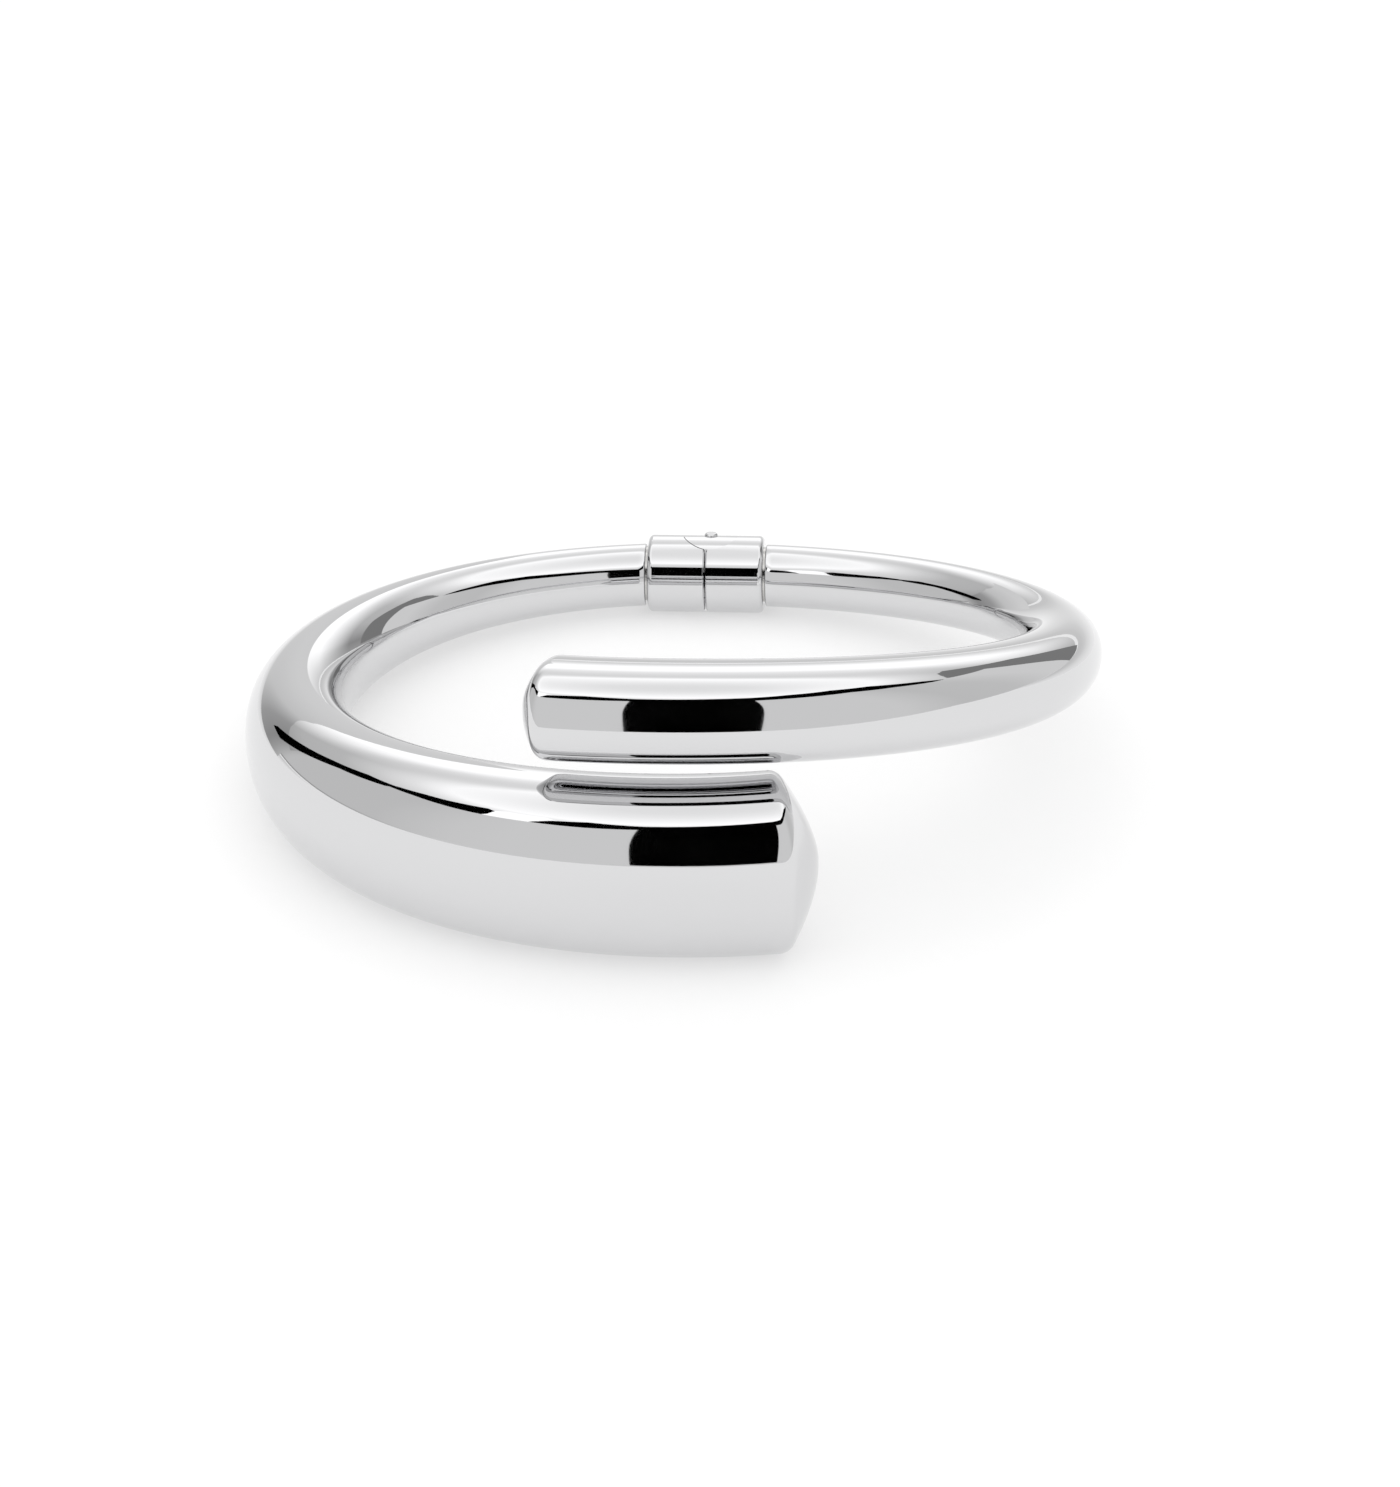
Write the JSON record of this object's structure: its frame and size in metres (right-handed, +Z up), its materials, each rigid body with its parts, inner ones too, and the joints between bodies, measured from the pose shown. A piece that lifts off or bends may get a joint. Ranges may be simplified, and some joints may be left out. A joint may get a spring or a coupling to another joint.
{
  "type": "hinged bypass bangle bracelet",
  "caption": "Hinged bypass bangle: two hollow polished arms on a sprung hinge taper up to domed free ends that pass one above the other.",
  "frame": {"origin": "under the middle of the bangle, on the surface that it lies on", "axes": "+Z up as the bangle lies at rest, hinge at +Y, crossing free ends at -Y, the thick left arm on the -X side"},
  "size_m": [0.0661, 0.0606, 0.0225],
  "materials": {
    "polished_plate": "mirror polished silver plate over brass",
    "hinge_metal": "plated, as turned",
    "pin_metal": "polished steel",
    "spring_wire": "drawn spring wire"
  },
  "bodies": {
    "right_arm": {"right_outer_shell": "polished_plate", "right_inner_shell": "polished_plate", "right_end_cap": "polished_plate", "right_hinge_collar": "polished_plate", "right_hinge_block": "hinge_metal", "right_tube_plug": "hinge_metal", "right_upper_knuckle": "polished_plate", "right_lower_knuckle": "polished_plate", "hinge_pin": "pin_metal", "hinge_spring": "spring_wire"},
    "left_arm": {"left_outer_shell": "polished_plate", "left_inner_shell": "polished_plate", "left_end_cap": "polished_plate", "left_hinge_collar": "polished_plate", "left_hinge_block": "hinge_metal", "left_tube_plug": "hinge_metal", "left_upper_knuckle": "polished_plate", "left_lower_knuckle": "polished_plate"}
  },
  "joints": [
    {"name": "arm_swing", "type": "hinge", "parent": "right_arm", "child": "left_arm", "pos_m": [0.0011, 0.02772, 0.00301], "axis": [0, -0.1882, -0.9821], "range_deg": [0, 70], "stiffness_Nm_per_rad": 0.0035, "springref_deg": -60.16, "deforming": ["hinge_spring"]}
  ]
}
